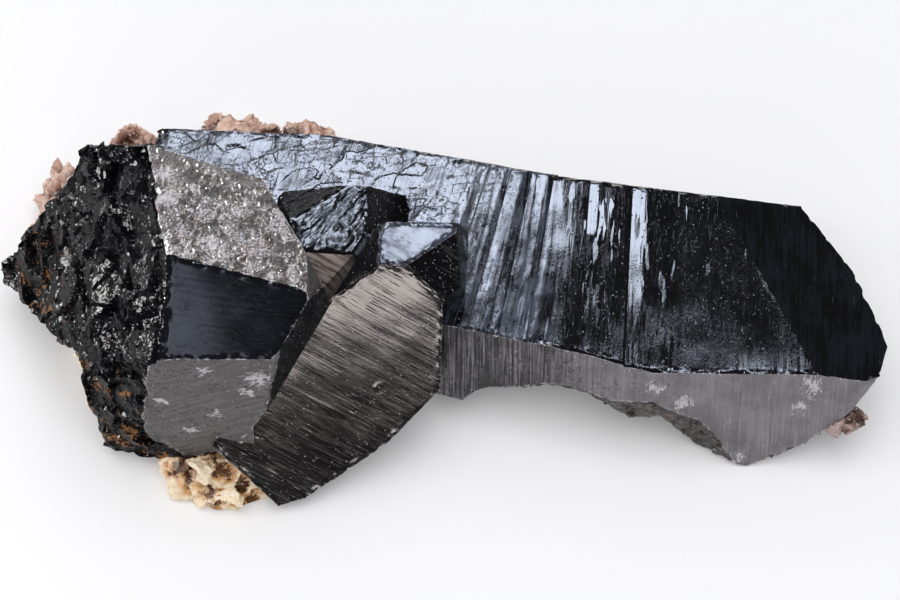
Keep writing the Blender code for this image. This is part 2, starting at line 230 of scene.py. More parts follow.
def relief(finish, points, across, along):
    """Height in mm of a finish's own relief at points in mm."""
    flat = 0 * across
    lines = np.stack([across, along * 0.12, flat], axis=1)
    if finish == "top":
        return top_relief(points, across, along)
    if finish == "tip":
        scars = 0.035 * np.abs(noise(points, 5.0, 19)) + 0.012 * np.abs(noise(points, 2.2, 29))
        return 0.3 * FAINT_STREAKS(across) - scars
    if finish == "front":
        return FRONT_STREAKS(across) * rise(-points[:, 0], -22, -10) + 0.012 * rough_noise(points, 1.5, 5)
    if finish == "striated":
        bend = across + 0.15 * noise(points, 7.0, 6)
        return GROOVES(bend) + 0.004 * rough_noise(lines, 0.8, 7)
    if finish in ("small_front", "bevel", "small_right"):
        return GROOVES(across) * 1.5 + 0.03 * rough_noise(points, 1.2, 7)
    if finish == "small_top":
        flow = np.stack([(across + 0.3 * along) * 1.3, along * 0.5, flat], 1)
        return 0.10 * np.abs(noise(flow, 3.0, 8)) + 0.06 * np.abs(rough_noise(flow, 1.3, 35))
    if finish == "head_top":
        return 0.012 * rough_noise(points, 2.2, 27) + 0.1 * FAINT_STREAKS(across)
    if finish == "face":
        swirl = np.sin((across + 0.5 * noise(points, 6.0, 9)) * 2 * math.pi / 1.15)
        return 0.003 * swirl * rise(noise(points, 5.0, 10), -0.6, 0.3) + 0.03 * noise(points, 16.0, 11)
    if finish == "crown":
        pits = rise(rough_noise(points, 1.7, 12), 0.75, 1.05)
        bumps = facets(points, 0.9, 13, 0.25)
        return -0.5 * pits + bumps + 0.05 * rough_noise(points, 3.0, 14)
    if finish == "foot":
        chips = rise(rough_noise(points, 2.6, 15), 0.75, 0.9)
        return -0.15 * chips + 0.012 * rough_noise(points, 1.0, 16)
    if finish == "broken":
        big = facets(points, 5.5, 24, 0.45)
        small = facets(points * np.array([1.0, 0.7, 0.7]), 1.8, 25, 0.45)
        return 0.6 * big + 0.4 * small + 0.05 * rough_noise(points, 1.2, 26)
    if finish == "ledge":
        small = facets(points, 1.4, 67, 0.35)
        return small + 0.05 * rough_noise(points, 1.0, 26)
    if finish == "under":
        return 0.25 * rough_noise(points, 4.0, 18)
    return FAINT_STREAKS(across) + 0.02 * rough_noise(points, 2.5, 18)


# ---- refining
def flat_model(mesh):
    """The CAD mesh welded, with its flat faces whole."""
    bm = bmesh.new()
    bm.from_mesh(mesh)
    bmesh.ops.remove_doubles(bm, verts=bm.verts[:], dist=WELD)
    bmesh.ops.dissolve_limit(bm, angle_limit=math.radians(0.35), verts=bm.verts[:],
                             edges=bm.edges[:], use_dissolve_boundaries=False)
    bmesh.ops.recalc_face_normals(bm, faces=bm.faces[:])
    bm.verts.index_update()
    return bm


def on_top(face):
    """Whether a face belongs to the main crystal's stepped top."""
    centre = face.calc_center_median() / MM - GROWTH_CENTRE
    for azimuth, elevation, distance in TOP_PLANES:
        normal = outward(azimuth, elevation)
        if abs(normal.dot(centre) - distance) < TOP_GAP and face.normal.dot(normal) > TOP_MATCH:
            return True
    return False


def is_sliver(face):
    """Whether a face is a narrow strip."""
    return face.calc_area() < 0.5 * SLIVER * face.calc_perimeter() * MM


def finishes_at(edge, finishes, but=None):
    """The finishes of an edge's faces, but for one face."""
    return {finishes[face.index] for face in edge.link_faces if face != but}


def is_beside(point, start, end, reach):
    """Whether a point is within reach of the side of a segment."""
    near, share = intersect_point_line(point, start, end)
    return 0 <= share <= 1 and (near - point).length < reach


def hair_step(edge, finishes):
    """The face of a hair-high step with one finish on both sides, if the edge is a side of one."""
    start, end = (vert.co for vert in edge.verts)
    middle = (start + end) / 2
    if (end - start).length < MM:
        return None
    for face in edge.link_faces:
        beyond = finishes_at(edge, finishes, face)
        for other in face.edges:
            if other != edge and finishes_at(other, finishes, face) == beyond:
                if is_beside(middle, *(vert.co for vert in other.verts), HAIR * MM):
                    return face
    return None


def near_edge_finish(middle, hairs, finish):
    """The finish at a point of a face: beside a hairline, that of the face beyond it."""
    for start, end, beyond in hairs:
        if is_beside(middle, start, end, HAIR):
            return beyond
    return finish


def finish_of(face):
    """The finish of one flat CAD face."""
    centre = face.calc_center_median() / MM
    torn = centre.x < BROKEN_END and face.calc_area() < TORN_AREA * MM * MM
    for finish, (normals, _, _) in FINISHES.items():
        if not torn and any(face.normal.dot(outward(*normal)) > FACE_MATCH for normal in normals):
            return finish
    if on_top(face):
        return "top"
    if face.normal.z < -0.6 or centre.z < 0.01:
        return "under"
    if centre.x > LEDGE_LEFT and centre.z < LEDGE_TOP and face.normal.y < -0.3:
        return "ledge"
    if torn or (centre.x < BROKEN_END and face.normal.x < -0.1):
        return "broken"
    return "side"


def mesh_step(finish):
    """How far apart a finish's mesh points are."""
    if finish in FINISHES:
        return FINISHES[finish][2]
    return {"broken": BROKEN_STEP, "under": UNDER_STEP, "ledge": BROKEN_STEP}.get(finish, SIDE_STEP)


def split_edges(bm):
    """Points along every edge, shared by both its faces: places and {edge: numbers}."""
    spots = [vert.co / MM for vert in bm.verts]
    rims = {}
    for edge in bm.edges:
        start, end = edge.verts
        pieces = max(1, round(edge.calc_length() / MM / EDGE_STEP))
        numbers = [start.index]
        for k in range(1, pieces):
            numbers.append(len(spots))
            spots.append(start.co.lerp(end.co, k / pieces) / MM)
        numbers.append(end.index)
        rims[edge] = numbers
    return spots, rims


def inside_clear(points, rim, margin):
    """Which 2D points are inside a polygon and clear of its rim."""
    inside = np.zeros(len(points), dtype=bool)
    nearest = np.full(len(points), 1e9)
    for a, b in zip(rim, np.roll(rim, -1, axis=0)):
        crosses = (a[1] > points[:, 1]) != (b[1] > points[:, 1])
        if a[1] != b[1]:
            at = (b[0] - a[0]) * (points[:, 1] - a[1]) / (b[1] - a[1]) + a[0]
            inside ^= crosses & (points[:, 0] < at)
        side = b - a
        share = np.clip(((points - a) @ side) / max(side @ side, 1e-12), 0, 1)
        gap = np.linalg.norm(points - (a + share[:, None] * side), axis=1)
        nearest = np.minimum(nearest, gap)
    return inside & (nearest > margin)


def fill_face(face, rims, spots, step):
    """Triangles over one flat face; the new inner points join spots."""
    numbers = []
    for loop in face.loops:
        edge_numbers = rims[loop.edge]
        if edge_numbers[0] != loop.vert.index:
            edge_numbers = edge_numbers[::-1]
        numbers += edge_numbers[:-1]
    normal = face.normal.copy()
    side = normal.orthogonal().normalized()
    up = normal.cross(side)
    origin = spots[numbers[0]]
    rim = np.array([((spots[i] - origin).dot(side), (spots[i] - origin).dot(up)) for i in numbers])
    low, high = rim.min(axis=0), rim.max(axis=0)
    rows = np.arange(low[1] + 0.5 * step, high[1], step * ROW_SHARE)
    columns = np.arange(low[0] + 0.25 * step, high[0], step)
    inner = np.empty((0, 2))
    if len(rows) and len(columns):
        grid = np.stack(np.meshgrid(columns, rows), axis=-1)
        grid[::2, :, 0] += 0.5 * step
        grid = grid.reshape(-1, 2)
        inner = grid[inside_clear(grid, rim, RIM_SHARE * step)]
    flat = [Vector(spot) for spot in rim] + [Vector(spot) for spot in inner]
    places, _, triangles, sources = delaunay_2d_cdt(flat, [], [list(range(len(rim)))], 1, 1e-7)[:4]
    names = []
    for place, source in zip(places, sources):
        known = [i for i in source if i < len(rim)]
        if known:
            names.append(numbers[known[0]])
        else:
            names.append(len(spots))
            spots.append(origin + side * place.x + up * place.y)
    filled = []
    for corners in triangles:
        ids = [names[i] for i in corners]
        if len(set(ids)) < 3:
            continue
        a, b, c = (spots[i] for i in ids)
        if (b - a).cross(c - a).dot(normal) < 0:
            ids.reverse()
        filled.append(ids)
    return filled


def distances(points, marks, most=5.0):
    """Distance from each point to the nearest mark, or the most where none is so near."""
    tree = KDTree(len(marks))
    for number, mark in enumerate(marks):
        tree.insert(mark, number)
    tree.balance()
    return np.array([min(tree.find(point)[2], most) for point in points])


def sampled(edges, spacing=0.12):
    """Points along edges, in mm."""
    marks = []
    for edge in edges:
        start, end = (vert.co / MM for vert in edge.verts)
        pieces = max(1, int((end - start).length / spacing))
        marks += [start.lerp(end, k / pieces) for k in range(pieces + 1)]
    return marks


def corner_normals(points, triangles):
    """Unit normal at each point, from the triangles round it; zero where there is none."""
    corners = points[triangles]
    across = np.cross(corners[:, 1] - corners[:, 0], corners[:, 2] - corners[:, 0])
    total = np.zeros((len(points), 3))
    for k in range(3):
        np.add.at(total, triangles[:, k], across)
    return total / np.maximum(np.linalg.norm(total, axis=1), 1e-12)[:, None]


def scene_object(name, data):
    """A new object in the scene."""
    thing = bpy.data.objects.new(name, data)
    bpy.context.scene.collection.objects.link(thing)
    return thing


def new_piece(name, points, triangles, crease):
    """An object made of triangles, shaded smooth but for edges over the crease angle."""
    mesh = bpy.data.meshes.new(name)
    mesh.from_pydata((points * MM).tolist(), [], triangles.tolist())
    mesh.polygons.foreach_set("use_smooth", np.ones(len(triangles), dtype=bool))
    mesh.set_sharp_from_angle(angle=math.radians(crease))
    print(name, len(triangles), "triangles")
    return scene_object(name, mesh)


def refined_crystals(name, mesh):
    """The crystals as one fine closed mesh with relief on every face."""
    bm = flat_model(mesh)
    spots, rims = split_edges(bm)
    bm.faces.index_update()
    finish_by_face = [finish_of(face) for face in bm.faces]
    for face in bm.faces:
        if is_sliver(face) and finish_by_face[face.index] in ("side", "under", "broken"):
            longest = max(face.edges, key=lambda edge: edge.calc_length())
            other = next(item for item in longest.link_faces if item != face)
            finish_by_face[face.index] = finish_by_face[other.index]
    names = sorted(set(finish_by_face))
    hairs = {}
    for edge in bm.edges:
        step = hair_step(edge, finish_by_face)
        if step is not None:
            beyond = next(finish_by_face[face.index] for face in edge.link_faces if face != step)
            hairs.setdefault(step.index, []).append((*(vert.co / MM for vert in edge.verts), beyond))
    triangles, owners = [], []
    for face, finish in zip(bm.faces, finish_by_face):
        filled = fill_face(face, rims, spots, mesh_step(finish))
        triangles += filled
        beside = hairs.get(face.index, ())
        for a, b, c in filled:
            middle = (spots[a] + spots[b] + spots[c]) / 3
            owners.append(names.index(near_edge_finish(middle, beside, finish)))
    points = np.array([tuple(spot) for spot in spots])
    triangles, owners = np.array(triangles), np.array(owners)

    borders = [edge for edge in bm.edges
               if len(finishes_at(edge, finish_by_face)) > 1 and hair_step(edge, finish_by_face) is None]
    sharp = [edge for edge in borders if edge.calc_face_angle_signed(0) > math.radians(SHARP_EDGE)]
    torn = [edge for edge in borders if "broken" in finishes_at(edge, finish_by_face)]
    border_gap = distances(spots, sampled(borders))
    edge_gap = distances(spots, sampled(sharp))
    torn_gap = distances(spots, sampled(torn))
    bm.free()

    moved = points.copy()
    grains = np.zeros((len(names), len(points), 2))
    for number, finish in enumerate(names):
        mine = triangles[owners == number]
        ids = np.unique(mine)
        across, along = grain(finish, points[ids])
        grains[number, ids, 0] = across
        grains[number, ids, 1] = along
        height = relief(finish, points[ids], across, along) * np.clip(border_gap[ids] / BORDER_FADE, 0, 1)
        moved[ids] += corner_normals(points, mine)[ids] * height[:, None]

    wear = LEAST_WEAR + MORE_WEAR * rise(rough_noise(points, 1.6, 30), 0.25, 0.9)
    moved -= corner_normals(points, triangles) * (wear * (1 - rise(edge_gap, 0.0, WEAR_REACH)))[:, None]
    near_edge = 1 - rise(edge_gap, 0.0, EDGE_REACH)
    near_torn = 1 - rise(torn_gap, 0.0, TORN_REACH)
    sways = ((9.0, 0.05, 31), (1.6, 0.10 * near_edge, 37), (2.0, 0.5 * near_torn, 41))
    for size, amount, seed in sways:
        sway = np.stack([rough_noise(points, size, seed + k, 2) for k in range(3)], axis=1)
        moved += np.broadcast_to(amount, len(points))[:, None] * sway
    moved[:, 2] = np.maximum(moved[:, 2], 0.0)

    crystals = new_piece(name, moved, triangles, CRYSTAL_CREASE)
    for finish in names:
        crystals.data.materials.append(QUARTZ[finish])
    crystals.data.polygons.foreach_set("material_index", owners.astype(np.int32))
    corner_ids = triangles.reshape(-1)
    corner_owners = np.repeat(owners, 3)
    values = np.concatenate([grains[corner_owners, corner_ids], edge_gap[corner_ids][:, None]], axis=1)
    layer = crystals.data.attributes.new("grain", "FLOAT_VECTOR", "CORNER")
    layer.data.foreach_set("vector", values.astype(np.float32).reshape(-1))
    return crystals


# ---- materials
class Term:
    """A number, vector or colour in a shader, so that its maths is written as plain maths."""

    def __init__(self, nodes, socket):
        self.nodes = nodes
        self.socket = socket

    def operate(self, kind, operation, output, *others):
        """The output of a maths node with this as its first input."""
        node = self.nodes.add(kind, {"operation": operation})
        for number, value in enumerate((self, *others)):
            self.nodes.set(node, number, value)
        return Term(self.nodes, node.outputs[output])

    def math(self, operation, other=0.0):
        return self.operate("ShaderNodeMath", operation, 0, other)

    def vector(self, operation, *others, output="Vector"):
        return self.operate("ShaderNodeVectorMath", operation, output, *others)

    def __add__(self, other):
        return self.math("ADD", other)

    def __sub__(self, other):
        return self.math("SUBTRACT", other)

    def __mul__(self, other):
        return self.math("MULTIPLY", other)

    def at_least(self, other):
        return self.math("MAXIMUM", other)

    def span(self, low, high, to_low=0.0, to_high=1.0):
        """A smooth change from to_low, where this is low, to to_high, where it is high."""
        node = self.nodes.add("ShaderNodeMapRange", {"interpolation_type": "SMOOTHSTEP"}, Value=self,
                              From_Min=low, From_Max=high, To_Min=to_low, To_Max=to_high)
        return Term(self.nodes, node.outputs["Result"])

    def split(self):
        """The X, Y and Z."""
        parts = self.nodes.add("ShaderNodeSeparateXYZ", Vector=self)
        return [Term(self.nodes, part) for part in parts.outputs]


class Nodes:
    """The shader nodes of one material."""

    def __init__(self, name):
        self.material = bpy.data.materials.new(name)
        self.material.use_nodes = True
        self.tree = self.material.node_tree
        self.shader = self.tree.nodes["Principled BSDF"]

    def add(self, kind, settings=None, **inputs):
        node = self.tree.nodes.new(kind)
        for key, value in (settings or {}).items():
            setattr(node, key, value)
        for key, value in inputs.items():
            self.set(node, key.replace("_", " "), value)
        return node

    def set(self, node, key, value):
        """Link a term to an input, or give the input a plain value."""
        if isinstance(value, Term):
            self.tree.links.new(value.socket, node.inputs[key])
        else:
            node.inputs[key].default_value = value

    def attribute(self, name, output):
        return Term(self, self.add("ShaderNodeAttribute", {"attribute_name": name}).outputs[output])

    def millimetres(self):
        """Position on the object in millimetres."""
        place = Term(self, self.add("ShaderNodeTexCoord").outputs["Object"])
        scaled = self.add("ShaderNodeVectorMath", {"operation": "SCALE"}, Vector=place, Scale=1 / MM)
        return Term(self, scaled.outputs["Vector"])

    def noise(self, vector, scale, detail=3.0, roughness=0.55, output="Fac"):
        node = self.add("ShaderNodeTexNoise", Vector=vector, Scale=scale, Detail=detail)
        node.inputs["Roughness"].default_value = roughness
        return Term(self, node.outputs[output])

    def warped(self, vector, scale, amount):
        """A vector bent by noise of the given scale, by up to about half the amount."""
        bend = self.noise(vector, scale, roughness=0.5, output="Color")
        return bend.vector("MULTIPLY_ADD", (amount, amount, amount), vector)

    def cells(self, vector, scale, feature="F1", randomness=1.0):
        """Voronoi cells: (distance, two random numbers of the cell, its middle)."""
        node = self.add("ShaderNodeTexVoronoi", {"feature": feature}, Vector=vector, Scale=scale,
                        Randomness=randomness)
        chance, other, _ = Term(self, node.outputs["Color"]).split()
        return Term(self, node.outputs["Distance"]), chance, other, Term(self, node.outputs["Position"])

    def mix(self, share, a, b):
        node = self.add("ShaderNodeMix", {"data_type": "RGBA"})
        self.set(node, 0, share)
        for number, colour in ((6, a), (7, b)):
            self.set(node, number, colour if isinstance(colour, Term) else (*colour, 1.0))
        return Term(self, node.outputs[2])

    def bump(self, height, strength, distance, normal=None):
        """A normal bent by a height, whose 0 to 1 stands for the distance in mm."""
        node = self.add("ShaderNodeBump", Height=height, Strength=strength, Distance=distance * MM)
        if normal is not None:
            self.set(node, "Normal", normal)
        return Term(self, node.outputs["Normal"])


# the brown here is painted: the warm reflection on the small crystal's front face
BLACK, NAVY, WARM_SHEEN_BROWN = (0.003, 0.003, 0.004), (0.005, 0.006, 0.010), (0.11, 0.088, 0.078)
# the blue frosty film is partly a painted bluish sheen of the cool lights
FROST, BLUE_FROST_AND_SHEEN = (0.022, 0.021, 0.022), (0.045, 0.052, 0.075)
RIPPLE, FLECK = (0.002, 0.002, 0.004), (0.003, 0.003, 0.005)
PIT, CRACK = (0.004, 0.004, 0.005), (0.002, 0.002, 0.003)
# the pale line colour is partly painted highlight along striations
ETCHED, SCRATCH_AND_HIGHLIGHT = (0.028, 0.028, 0.036), (0.45, 0.42, 0.42)
# the pale speck colour is partly dusty specks and partly painted sparkle
CHIP, DUST_AND_SPARKLE = (0.46, 0.44, 0.46), (0.50, 0.50, 0.55)
# the white grain colour is partly painted sparkle
GRAIN_AND_SPARKLE, TAN_GRAIN = (0.56, 0.54, 0.60), (0.58, 0.40, 0.29)
RUST, DARK_RUST = (0.38, 0.17, 0.05), (0.13, 0.07, 0.04)
# the feldspar white is partly a painted highlight
FELDSPAR_WHITE_AND_HIGHLIGHT, BACK_PALE = (0.95, 0.90, 0.84), (0.70, 0.46, 0.36)
QUARTZ_IOR = 1.55
CHIP_BEND = 3.0  # how far noise bends the outline of a chip


class Quartz(Nodes):
    """A finish of black quartz: a colour, roughness and normal that each mark changes in turn.

    A mark's strength says how much of it shows. Places and sizes are in mm."""

    def __init__(self, finish, line):
        super().__init__("morion_" + finish)
        self.place = self.millimetres()
        self.x, self.y, self.z = self.place.split()
        self.across, self.along, self.edge = self.attribute("grain", "Vector").split()
        width, length = line
        self.streak = self.noise(self.stretched(width, length), 1.0, 5.0, 0.62)
        self.thread = self.noise(self.stretched(0.3 * width, 0.5 * length), 1.0, 3.0, 0.6)
        self.cloud = self.noise(self.place, 0.16, 4.0, 0.6)
        self.mottle = self.noise(self.place, 1.0, 5.0, 0.7)
        self.blotch = self.noise(self.place, 0.38, 6.0, 0.68)
        self.colour = self.roughness = self.normal = None

    def stretched(self, width, length):
        """A texture vector in which features are width across and length along the grain."""
        across, along = self.across * (1 / width), self.along * (1 / length)
        return Term(self, self.add("ShaderNodeCombineXYZ", X=across, Y=along).outputs["Vector"])

    def paint(self, share, colour):
        self.colour = self.mix(share, self.colour, colour)

    def roughen(self, share, amount):
        """Rougher by the amount where the share is whole."""
        self.roughness = self.roughness + share * amount

    def dull(self, share, least):
        """At least so rough where the share is whole."""
        self.roughness = self.roughness.at_least(share * least)

    def dent(self, height, strength, distance):
        self.normal = self.bump(height, strength, distance, self.normal)

    def film(self, base, film, cover, texture, whole_from, end):
        """Clear quartz under a frosty film, whole beyond whole_from and gone beyond end, in x.
        A blue film is partly a painted sheen.
        """
        film_share = (texture * 0.6 + self.cloud * 0.4).span(0.62 - 0.35 * cover, 0.74 - 0.35 * cover)
        if whole_from is not None:
            uneven = (self.cloud + self.blotch).span(0.8, 1.2, 0.65, 1.0)
            thin = self.z.span(3.0, 17.0, 0.75, 1.0) * uneven
            film_share = film_share.at_least(self.x.span(whole_from, whole_from + 9) * thin)
        if end is not None:
            film_share = film_share * self.x.span(end + 1, end - 1)
        self.colour = self.mix(film_share, base, film)

    def polish(self, rough, haze, haze_end):
        self.roughness = self.thread * (0.9 * rough) + 0.5 * rough
        if haze:
            self.roughen(self.blotch.span(0.42, 0.66), self.x.span(haze_end + 4, haze_end - 4, 0.0, haze))

    def far_lean(self, chance, other, bunches):
        """How far to the left a slat leans: in a bunch, (x, y, reach in x, reach in y), many lean far."""
        dense = 0.0
        for x, y, reach_x, reach_y in bunches:
            away = self.place.vector("SUBTRACT", (x, y, 0))
            away = away.vector("MULTIPLY", (1 / reach_x, 1 / reach_y, 0))
            dense = away.vector("LENGTH", output="Value").span(1.2, 0.3, 0.0, 0.5).at_least(dense)
        return (chance + dense).span(0.95, 0.98) * other.span(0.0, 1.0, 0.06, 0.14)

    def slats(self, sizes, bunches, tone, tone_end):
        """Narrow flats along the grain, of a width, length and slope: each is tilted its own way by
        up to the slope and darkened by up to the tone, less so beyond tone_end in x."""
        width, length, slope = sizes
        vector = self.warped(self.stretched(width, length), 0.8, 0.6)
        _, chance, other, middle = self.cells(vector, 1.0)
        lean = (chance - 0.5) * (2 * slope)
        if bunches:
            lean = lean + self.far_lean(chance, other, bunches)
        self.dent((vector.split()[0] - middle.split()[0]) * lean, 1.0, width)
        self.paint(other * self.x.span(tone_end + 8, tone_end - 8, 0.2 * tone, tone), BLACK)

    def ripples(self, strength):
        """Dark curved ripples of a break."""
        wave = ((self.across + self.noise(self.place, 0.2, 3.0) * 9.0) * 5.2).math("SINE")
        wave = wave.span(0.2, 1.0) * self.blotch.span(0.40, 0.60, 0.0, strength)
        self.paint(wave, RIPPLE)
        self.roughen(wave, 0.10)
        self.dent(wave, -0.1, 0.2)

    def etching(self, start):
        """Dull etched patches beyond start in x."""
        _, chance, _, _ = self.cells(self.place, 7.0)
        etched = chance.span(0.5, 1.0) * self.cloud.span(0.40, 0.62, 0.1, 0.8)
        etched = etched * self.x.span(start, start + 3)
        self.roughen(etched, 0.12)
        self.paint(etched, ETCHED)

    def lines(self, strength):
        """Growth lines."""
        self.dent(self.streak, strength, 0.6)
        self.dent(self.thread, 0.7 * strength, 0.25)

    def grains(self, strength):
        """White and tan grains that stick to the surface in patches; the white is partly painted sparkle.
        """
        _, chance, other, _ = self.cells(self.warped(self.place, 0.9, 0.8), 4.2)
        patchy = self.blotch + self.y.span(2.0, -8.0, -0.08, 0.04)
        light = (chance + patchy.span(0.34, 0.66, -0.45, 0.38)).span(0.55, 1.10) * strength
        self.paint(light, self.mix(other.span(0.78, 0.90), GRAIN_AND_SPARKLE, TAN_GRAIN))
        self.dent(light, 0.5, 0.3)

    def flecks(self, strength, end):
        """Small dark flecks, none beyond end in x."""
        fleck = self.noise(self.warped(self.place, 0.7, 0.6), 1.5, 5.0, 0.75)
        fleck = (fleck + self.cloud.span(0.35, 0.65, -0.05, 0.05)).span(0.56, 0.60)
        fleck = fleck * self.x.span(end + 5, end - 5, 0.0, strength)
        self.paint(fleck, FLECK)
        self.roughen(fleck, 0.45)

    def scratches_and_highlights(self, strength, where):
        """Pale lines along the grain where blotches are in a span, partly scuffs and partly painted
        highlights along the striations, and dull scuffs all over.
        """
        line_noise = self.noise(self.stretched(0.2, 5.0), 1.0, 2.0, 0.5)
        self.dull(line_noise.span(0.43, 0.36) * min(1.0, strength), 0.5)
        # pale lines: partly scuffs, partly painted highlights
        pale = line_noise.span(0.66, 0.72) * self.blotch.span(*where, 0.0, strength)
        self.paint(pale, SCRATCH_AND_HIGHLIGHT)
        self.dull(pale, 0.5)

    def stain(self, strength, levels):
        """Rust, most of it below the first of two levels in z and least above the second."""
        rust = self.noise(self.place, 0.3, 3.0, 0.6) * 0.5 + self.noise(self.place, 1.3, 4.0, 0.7) * 0.5
        rust = (rust + self.z.span(*levels, 0.12, 0.0)).span(0.655, 0.71) * strength
        self.paint(rust * 0.8, self.mix(self.mottle.span(0.4, 0.6), RUST, DARK_RUST))
        self.dull(rust, 0.55)

    def dust_and_sparkle(self, strength, size):
        """Pale specks of a size, partly dusty specks and partly painted sparkle."""
        distance, chance, _, _ = self.cells(self.warped(self.place, 1.5, 0.35), 1 / size)
        spot = distance.span(0.40, 0.18) * chance.span(0.97 - 0.3 * strength, 1.0)
        self.paint(spot * 0.7, DUST_AND_SPARKLE)
        self.dull(spot, 0.5)

    def pits(self, strength):
        distance, _, chance, _ = self.cells(self.warped(self.place, 1.2, 0.4), 1.6)
        hole = distance.span(0.34, 0.22) * chance.span(0.94 - 0.5 * strength, 0.98 - 0.5 * strength)
        self.paint(hole, PIT)
        self.dull(hole, 0.6)
        self.dent(hole, -0.8, 0.4)

    def cracks(self, strength, cell, end):
        """A broken net of cracks round cells of a width and length, none beyond end in x."""
        net = self.add("ShaderNodeTexVoronoi", {"feature": "DISTANCE_TO_EDGE"}, Scale=1.0, Randomness=0.55,
                       Vector=self.warped(self.stretched(*cell), 1.8, 0.16))
        seam = Term(self, net.outputs["Distance"]).span(0.055, 0.02) * self.cloud.span(0.43, 0.50)
        seam = seam * self.blotch.span(0.38, 0.48) * self.x.span(end + 4, end, 0.0, strength)
        self.paint(seam, CRACK)
        self.dull(seam, 0.7)
        self.dent(seam, -0.9, 0.4)

    def chips(self, strength, places):
        """White chips along the sharp edges and at places, (x, y, z, radius)."""
        flaky = self.noise(self.stretched(0.36, 1.2), 1.0, 5.0, 0.75)
        worn = (flaky * 1.7 - self.edge).span(0.72, 0.84, 0.0, strength) * self.blotch.span(0.42, 0.52)
        both = self.mottle * 0.35 + flaky * 0.65
        bent = self.warped(self.place, 0.45, CHIP_BEND)
        for *spot, radius in places:
            middle = [value + 0.5 * CHIP_BEND for value in spot]
            near = bent.vector("DISTANCE", middle, output="Value").span(1.7 * radius, 0.0, 0.0, 0.24)
            worn = worn.at_least((both + near).span(0.68, 0.72))
        self.paint(worn, CHIP)
        self.dull(worn, 0.5)
        self.dent(worn, 0.3, 0.3)

    def grit(self, strength):
        self.dent(self.noise(self.place, 2.6, 5.0, 0.65), strength, 0.4)

    def glint(self, strength):
        """Small facets that catch the light, each tilted its own way."""
        distance, chance, _, _ = self.cells(self.place, 2.4)
        tilt = (chance - 0.5) * self.cloud.span(0.40, 0.60, 0.2, 1.2)
        self.dent(distance * tilt, strength, 0.6)

    def finished(self, level):
        """The material, with its specular level."""
        self.set(self.shader, "Base Color", self.colour)
        self.set(self.shader, "Roughness", self.roughness)
        self.shader.inputs["IOR"].default_value = QUARTZ_IOR
        self.shader.inputs["Specular IOR Level"].default_value = level
        if self.normal is not None:
            self.set(self.shader, "Normal", self.normal)
        return self.material


QUARTZ = {}


def quartz(finish, base, film, cover, rough, level=0.5, line=(0.7, 9.0), film_from=None, film_end=None,
           haze=0.0, haze_end=99.0, slats=None, bunches=(), tone=0.0, tone_end=99.0, ripples=0.0,
           etched_from=None, lines=0.0, grains=0.0, flecks=0.0, fleck_end=99.0, scratches_and_highlights=0.0,
           pale_line_span=(0.48, 0.60), stain=0.0, stain_levels=(4.0, 22.0), dust_and_sparkle=0.0, speck_size=0.35, pits=0.0,
           cracks=0.0, crack_cell=(3.2, 2.2), crack_end=99.0, chips=0.0, chipped=(), grit=0.0, glint=0.0):
    """Make a finish of black quartz, with every mark that has a strength.

    base and film are the clear and the frosted colour (a blue film is partly a painted sheen), cover
    the frosted share, rough the roughness, level the specular level and line the width and length of a
    growth line."""
    look = Quartz(finish, line)
    look.film(base, film, cover, look.streak if lines else look.blotch, film_from, film_end)
    look.polish(rough, haze, haze_end)
    marks = (
        (look.slats, slats, (bunches, tone, tone_end)), (look.ripples, ripples, ()),
        (look.etching, etched_from, ()), (look.lines, lines, ()), (look.grains, grains, ()),
        (look.flecks, flecks, (fleck_end,)), (look.scratches_and_highlights, scratches_and_highlights, (pale_line_span,)),
        (look.stain, stain, (stain_levels,)), (look.dust_and_sparkle, dust_and_sparkle, (speck_size,)), (look.pits, pits, ()),
        (look.cracks, cracks, (crack_cell, crack_end)), (look.chips, chips, (chipped,)),
        (look.grit, grit, ()), (look.glint, glint, ()),
    )
    for lay_on, strength, others in marks:
        if strength:
            lay_on(strength, *others)
    QUARTZ[finish] = look.finished(level)


# places with white chips: (x, y, z, radius)
FRONT_CHIPS = (
    (25.6, -20.8, 22.0, 1.8), (27.3, -21.7, 20.1, 2.6), (31.6, -22.2, 19.0, 2.0), (36.8, -23.6, 15.8, 2.2),
    (41.7, -24.9, 12.9, 2.8), (63.4, -23.4, 16.2, 3.0), (61.4, -25.4, 11.9, 1.8), (52.0, -30.2, 1.5, 1.5),
)
FOOT_CHIPS = (
    (-29.3, -29.2, 29.2, 3.2), (-31.5, -29.6, 25.6, 1.8), (-37.8, -28.7, 31.0, 1.9),
    (-45.9, -29.6, 22.5, 1.6), (-41.6, -30.9, 14.5, 1.8), (-37.0, -30.3, 19.9, 1.3),
)
CROWN_CHIPS = ((-44.2, -1.0, 48.0, 2.6), (-43.6, -5.1, 46.6, 2.2), (-35.9, -12.6, 44.0, 2.4))
# places where many slats of the top lean far to the left: (x, y, reach in x, reach in y)
BUNCHES = (
    (35.0, 6.0, 1.3, 9.0), (33.9, -11.0, 2.2, 11.0), (28.5, 5.0, 3.0, 7.0), (27.0, -8.0, 3.0, 9.0),
    (38.5, -18.0, 3.5, 5.0),
)
